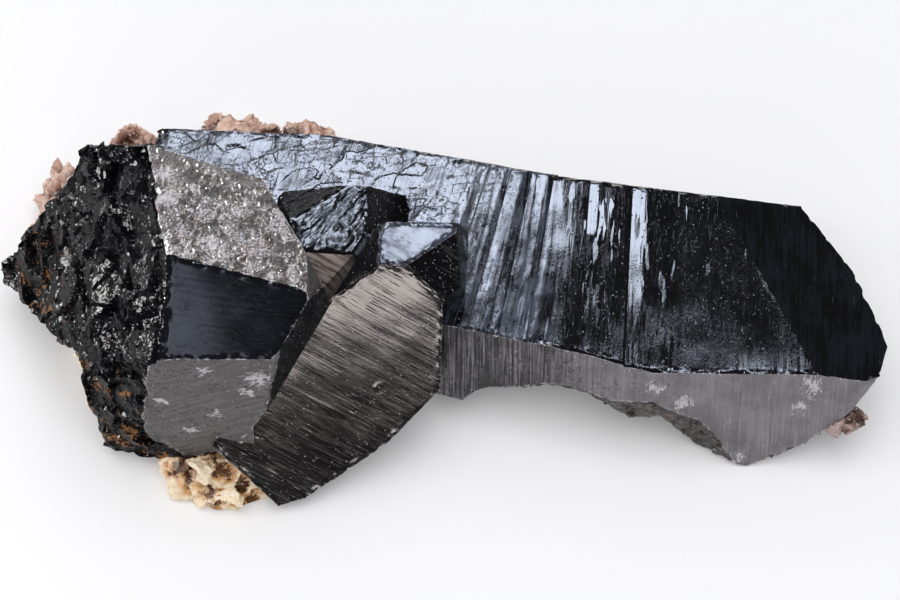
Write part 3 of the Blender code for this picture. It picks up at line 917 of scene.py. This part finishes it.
# the top's blue film is partly a painted bluish sheen; it ends at x 19, where the top is dark
quartz("top", BLACK, BLUE_FROST_AND_SHEEN, 0.5, 0.06, line=(0.5, 9.0), lines=0.04, slats=(0.5, 4.0, 0.02),
       bunches=BUNCHES, grit=0.03, haze=0.12, haze_end=16.0, flecks=1.0, fleck_end=14.0, cracks=1.0,
       crack_cell=(2.6, 1.9), crack_end=8.0, pits=0.25, dust_and_sparkle=0.03, film_end=19.0, etched_from=40.0,
       scratches_and_highlights=0.3)
quartz("tip", BLACK, (0.007, 0.008, 0.012), 0.5, 0.12, lines=0.01, grit=0.01, scratches_and_highlights=0.12)
quartz("front", (0.018, 0.016, 0.015), (0.20, 0.19, 0.21), 0.5, 0.40, line=(0.40, 11.0), lines=0.25,
       grit=0.2, slats=(0.35, 9.0, 0.03), tone=0.95, tone_end=24.0, film_from=13.0, flecks=0.5,
       fleck_end=42.0, chips=1.0, chipped=FRONT_CHIPS, dust_and_sparkle=0.15, scratches_and_highlights=0.5)
# the crown's white grains are partly painted sparkle
quartz("crown", (0.062, 0.052, 0.048), (0.13, 0.115, 0.11), 0.5, 0.30, grit=0.25, grains=0.75, pits=0.45,
       chips=0.9, chipped=CROWN_CHIPS, stain=0.4, stain_levels=(30.0, 49.0))
quartz("face", BLACK, NAVY, 0.5, 0.09, line=(0.8, 14.0), lines=0.02, grit=0.01, ripples=1.0, chips=0.7)
quartz("foot", (0.055, 0.051, 0.051), (0.09, 0.085, 0.085), 0.5, 0.42, lines=0.02, grit=0.1, flecks=0.6,
       dust_and_sparkle=0.25, chips=1.0, chipped=FOOT_CHIPS, scratches_and_highlights=0.5, pale_line_span=(0.46, 0.60))
# the striated face's pale lines are partly painted highlights along its striations
quartz("striated", (0.006, 0.005, 0.005), (0.02, 0.018, 0.018), 0.5, 0.08, line=(0.35, 14.0), lines=0.02,
       slats=(0.22, 7.0, 0.012), tone=0.5, grit=0.02, dust_and_sparkle=0.1, scratches_and_highlights=1.0, pale_line_span=(0.45, 0.58),
       chips=0.6)
# the head's blue film is partly a painted bluish sheen
quartz("head_top", BLACK, BLUE_FROST_AND_SHEEN, 0.6, 0.10, lines=0.02, grit=0.01, haze=0.08, ripples=0.3, chips=0.5)
# on the head's side and the small crystal's sides, the pale specks are partly painted sparkle
quartz("head_side", BLACK, FROST, 0.3, 0.14, level=0.3, lines=0.03, grit=0.10, glint=0.25, dust_and_sparkle=0.5,
       speck_size=0.3, stain=0.3)
# the small crystal's blue film on top is partly a painted bluish sheen
quartz("small_top", BLACK, BLUE_FROST_AND_SHEEN, 0.3, 0.10, lines=0.03, grit=0.02, flecks=0.5)
quartz("small_left", BLACK, FROST, 0.2, 0.14, level=0.2, lines=0.05, grit=0.05, glint=0.2, dust_and_sparkle=0.5)
quartz("small_right", BLACK, FROST, 0.2, 0.14, level=0.2, lines=0.1, grit=0.10, glint=0.25, dust_and_sparkle=0.5,
       speck_size=0.3, stain=0.3)
# painted warm reflection: the brown base and pale pink film, and the pale lines as a bright streak
quartz("small_front", WARM_SHEEN_BROWN, (0.50, 0.42, 0.39), 0.6, 0.3, lines=0.15, grit=0.1, scratches_and_highlights=1.0,
       pale_line_span=(0.42, 0.50))
quartz("bevel", (0.03, 0.026, 0.026), (0.07, 0.062, 0.064), 0.5, 0.25, lines=0.15, grit=0.1, dust_and_sparkle=0.6,
       scratches_and_highlights=0.8, chips=0.9)
quartz("ledge", (0.016, 0.012, 0.010), (0.06, 0.048, 0.042), 0.4, 0.35, grit=0.3, dust_and_sparkle=1.0, chips=0.5,
       stain=0.3)
# on the broken flank the pale specks are partly painted sparkle
quartz("broken", BLACK, FROST, 0.1, 0.13, level=0.05, grit=0.15, glint=0.6, dust_and_sparkle=0.2, speck_size=0.25,
       stain=1.0, stain_levels=(12.0, 38.0))
quartz("side", BLACK, FROST, 0.35, 0.16, line=(0.7, 8.0), lines=0.1, grit=0.04, dust_and_sparkle=0.1, scratches_and_highlights=0.5)
quartz("under", BLACK, FROST, 0.4, 0.35, grit=0.25, dust_and_sparkle=0.3, stain=0.3)


def feldspar(name, pale, tan, dark, back=None):
    """Rough feldspar: tan breaks, pale crests and brown hollows (painted highlight and shade by crest
    height), white patches that are partly painted highlight, and another colour at the back.
    """
    nodes = Nodes(name)
    place = nodes.millimetres()
    depth = nodes.attribute("rise", "Fac")
    cloud = nodes.noise(place, 0.30, 5.0, 0.62)
    fine = nodes.noise(place, 1.3, 6.0, 0.7)
    if back is not None:
        behind = place.split()[1].span(8.0, 16.0)
        tan = nodes.mix(behind, tan, back)
        pale = nodes.mix(behind, pale, BACK_PALE)
    # painted highlight: paler where the crests are higher
    colour = nodes.mix((cloud + depth * 0.25).span(0.42, 0.66), tan, pale)
    # painted shade: darker in the hollows, where the crests are lower
    hollow_shade = nodes.noise(place, 2.2, 5.0, 0.75) - depth * 0.35
    colour = nodes.mix(hollow_shade.span(0.58, 0.80, 0.0, 0.95), colour, dark)
    colour = nodes.mix(fine.span(0.60, 0.72, 0.0, 0.6), colour, dark)
    # white patches, partly painted highlight
    colour = nodes.mix(fine.span(0.44, 0.34, 0.0, 0.8), colour, FELDSPAR_WHITE_AND_HIGHLIGHT)
    nodes.set(nodes.shader, "Base Color", colour)
    nodes.set(nodes.shader, "Roughness", fine.span(0.3, 0.7, 0.45, 0.8))
    normal = nodes.bump(fine, 0.8, 0.6)
    normal = nodes.bump(nodes.noise(place, 4.0, 4.0, 0.6), 0.5, 0.2, normal)
    nodes.set(nodes.shader, "Normal", normal)
    return nodes.material


# ---- rock
def halved(spots, triangles, longest):
    """The triangles with every edge over a length split at its middle; the middles join spots."""
    middles = {}
    done = []
    for corners in triangles:
        ring, first = [], None
        for a, b in zip(corners, corners[1:] + corners[:1]):
            ring.append(a)
            if (spots[a] - spots[b]).length > longest:
                key = (min(a, b), max(a, b))
                if key not in middles:
                    middles[key] = len(spots)
                    spots.append((spots[a] + spots[b]) / 2)
                first = len(ring) if first is None else first
                ring.append(middles[key])
        if first is not None:
            ring = ring[first:] + ring[:first]
        done += [[ring[0], ring[k], ring[k + 1]] for k in range(1, len(ring) - 1)]
    return done


HALVINGS = 5
LONGEST_EDGE = 1.4  # a rock edge longer than this many steps is split
ROCK_GROUND = 0.05  # rock below this height keeps its place
CREST_LEVEL = 0.6  # rock keeps its place where the crests are so high


def refined_rock(name, mesh, material, step, height):
    """Rock with finer breaks: the CAD mesh subdivided and broken into facets."""
    bm = bmesh.new()
    bm.from_mesh(mesh)
    bmesh.ops.remove_doubles(bm, verts=bm.verts[:], dist=WELD)
    bm.verts.index_update()
    spots = [vert.co / MM for vert in bm.verts]
    triangles = [[vert.index for vert in face.verts] for face in bm.faces]
    bm.free()
    for _ in range(HALVINGS):
        triangles = halved(spots, triangles, LONGEST_EDGE * step)
    points = np.array([tuple(spot) for spot in spots])
    triangles = np.array(triangles)
    big = facets(points, 3.8, 41, 1.1)
    small = facets(points, 1.2, 47, 1.0)
    crests = 0.7 * big + 0.8 * small + 0.35 * rough_noise(points, 1.6, 44)
    lumps = np.where(points[:, 2] < ROCK_GROUND, 0.0, (crests - CREST_LEVEL) * height)
    moved = points + corner_normals(points, triangles) * lumps[:, None]
    moved[:, 2] = np.maximum(moved[:, 2], 0.0)
    rock = new_piece(name, moved, triangles, ROCK_CREASE)
    layer = rock.data.attributes.new("rise", "FLOAT", "POINT")
    layer.data.foreach_set("value", crests.astype(np.float32))
    rock.data.materials.append(material)
    return rock


# ---- studio
def add_camera():
    """The photo's camera."""
    data = bpy.data.cameras.new("camera")
    data.lens = LENS
    data.sensor_width = SENSOR
    data.clip_start = 0.01
    camera = scene_object("camera", data)
    camera.location = (GROWTH_CENTRE + TOWARD * CAMERA_DISTANCE) * MM
    camera.rotation_euler = (math.radians(CAMERA_TILT), 0, 0)
    bpy.context.scene.camera = camera


def add_card(name, centre, aim, size, radiance, colour, glossy=True, diffuse=False):
    """A rectangular light of a given radiance, never seen itself."""
    width, height = size
    data = bpy.data.lights.new(name, "AREA")
    data.shape = "RECTANGLE"
    data.size = width * MM
    data.size_y = height * MM
    data.energy = radiance * math.pi * width * height * MM * MM
    data.color = colour
    light = scene_object(name, data)
    light.location = Vector(centre) * MM
    direction = (Vector(aim) - Vector(centre)).normalized()
    light.rotation_euler = direction.to_track_quat("-Z", "Y").to_euler()
    light.visible_camera = False
    light.visible_glossy = glossy
    light.visible_diffuse = diffuse


COOL, WARM, PLAIN = (0.74, 0.82, 1.0), (1.0, 0.90, 0.86), (1.0, 0.985, 0.97)
MID_HEIGHT = Vector((0, 0, 20))
ROOM_COLOUR = (0.95, 0.97, 1.0, 1.0)
ROOM_LIGHT, ROOM_REFLECTED, ROOM_SEEN = 0.45, 0.06, 0.88  # strengths
FLOOR_COLOUR = (0.74, 0.74, 0.755, 1.0)
FLOOR_ROUGHNESS, FLOOR_GLOW = 0.7, 0.12
FLOOR_REACH, FLOOR_DROP = 1.6, 0.0002  # metres


def card_towards(azimuth, elevation, distance):
    """A point in the given direction from the middle of the crystals."""
    return GROWTH_CENTRE + MID_HEIGHT + outward(azimuth, elevation) * distance


def add_studio():
    """Lights and a pale room, dimmer in reflections and bright behind the part."""
    add_card("sky_left", (-60, 165, 400), (-60, 165, 0), (177, 58), 19.0, COOL)
    add_card("sky_small", (-56, 79, 401), (-56, 79, 0), (36, 28), 22.0, COOL)
    add_card("sky_right", (88, 66, 402), (88, 66, 0), (46, 38), 18.0, COOL)
    add_card("front_low", (165, -620, 317), (0, 0, 20), (190, 80), 11.0, WARM)
    add_card("front_left", (-278, -460, 600), (-278, -460, 0), (160, 150), 2.0, COOL)
    add_card("left", card_towards(-92, 24, 600), (-60, 0, 20), (150, 150), 240.0, PLAIN)
    add_card("back", card_towards(180, 40, 800), (0, 0, 20), (500, 260), 6.0, PLAIN)
    add_card("fill", (0, 0, 1300), (0, 0, 0), (1500, 1500), 2.0, PLAIN, glossy=False, diffuse=True)
    add_card("front_fill", (-150, -900, 330), (0, 0, 0), (700, 500), 1.6, PLAIN, glossy=False, diffuse=True)
    world = bpy.data.worlds.new("studio")
    world.use_nodes = True
    tree = world.node_tree
    shade = tree.nodes["Background"]
    shade.inputs["Color"].default_value = ROOM_COLOUR
    path = tree.nodes.new("ShaderNodeLightPath")
    dim = tree.nodes.new("ShaderNodeMapRange")
    dim.inputs["To Min"].default_value = ROOM_LIGHT
    dim.inputs["To Max"].default_value = ROOM_REFLECTED
    tree.links.new(path.outputs["Is Glossy Ray"], dim.inputs["Value"])
    level = tree.nodes.new("ShaderNodeMapRange")
    level.inputs["To Max"].default_value = ROOM_SEEN
    tree.links.new(path.outputs["Is Camera Ray"], level.inputs["Value"])
    tree.links.new(dim.outputs["Result"], level.inputs["To Min"])
    tree.links.new(level.outputs["Result"], shade.inputs["Strength"])
    bpy.context.scene.world = world
    bpy.context.scene.view_settings.view_transform = "Standard"


def add_floor():
    """A pale table that glows a little."""
    bm = bmesh.new()
    bmesh.ops.create_grid(bm, x_segments=1, y_segments=1, size=FLOOR_REACH)
    mesh = bpy.data.meshes.new("floor")
    bm.to_mesh(mesh)
    bm.free()
    nodes = Nodes("floor")
    nodes.shader.inputs["Base Color"].default_value = FLOOR_COLOUR
    nodes.shader.inputs["Roughness"].default_value = FLOOR_ROUGHNESS
    nodes.shader.inputs["Emission Color"].default_value = (1.0, 1.0, 1.0, 1.0)
    nodes.shader.inputs["Emission Strength"].default_value = FLOOR_GLOW
    mesh.materials.append(nodes.material)
    floor = scene_object("floor", mesh)
    floor.location.z = -FLOOR_DROP


def stand_in_for(piece, node):
    """Let a piece take a CAD node's place."""
    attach(piece, "root")
    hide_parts(node)


def main():
    add_camera()
    add_studio()
    add_floor()
    nodes = frame["nodes"]
    tan = feldspar("feldspar_tan_look", pale=(0.95, 0.78, 0.56), tan=(0.72, 0.42, 0.18),
                   dark=(0.12, 0.04, 0.012), back=(0.42, 0.22, 0.16))
    pink = feldspar("feldspar_pink_look", pale=(0.36, 0.26, 0.24), tan=(0.22, 0.13, 0.11),
                    dark=(0.06, 0.03, 0.025))
    crystals = refined_crystals("morion_surface", nodes["morion_crystals"].data)
    stand_in_for(crystals, "morion_crystals")
    matrix = nodes["feldspar_matrix"].data
    matrix = refined_rock("feldspar_surface", matrix, tan, step=0.55, height=0.65)
    stand_in_for(matrix, "feldspar_matrix")
    crumb = refined_rock("crumb_surface", nodes["feldspar_crumb"].data, pink, step=0.3, height=0.25)
    stand_in_for(crumb, "feldspar_crumb")


main()
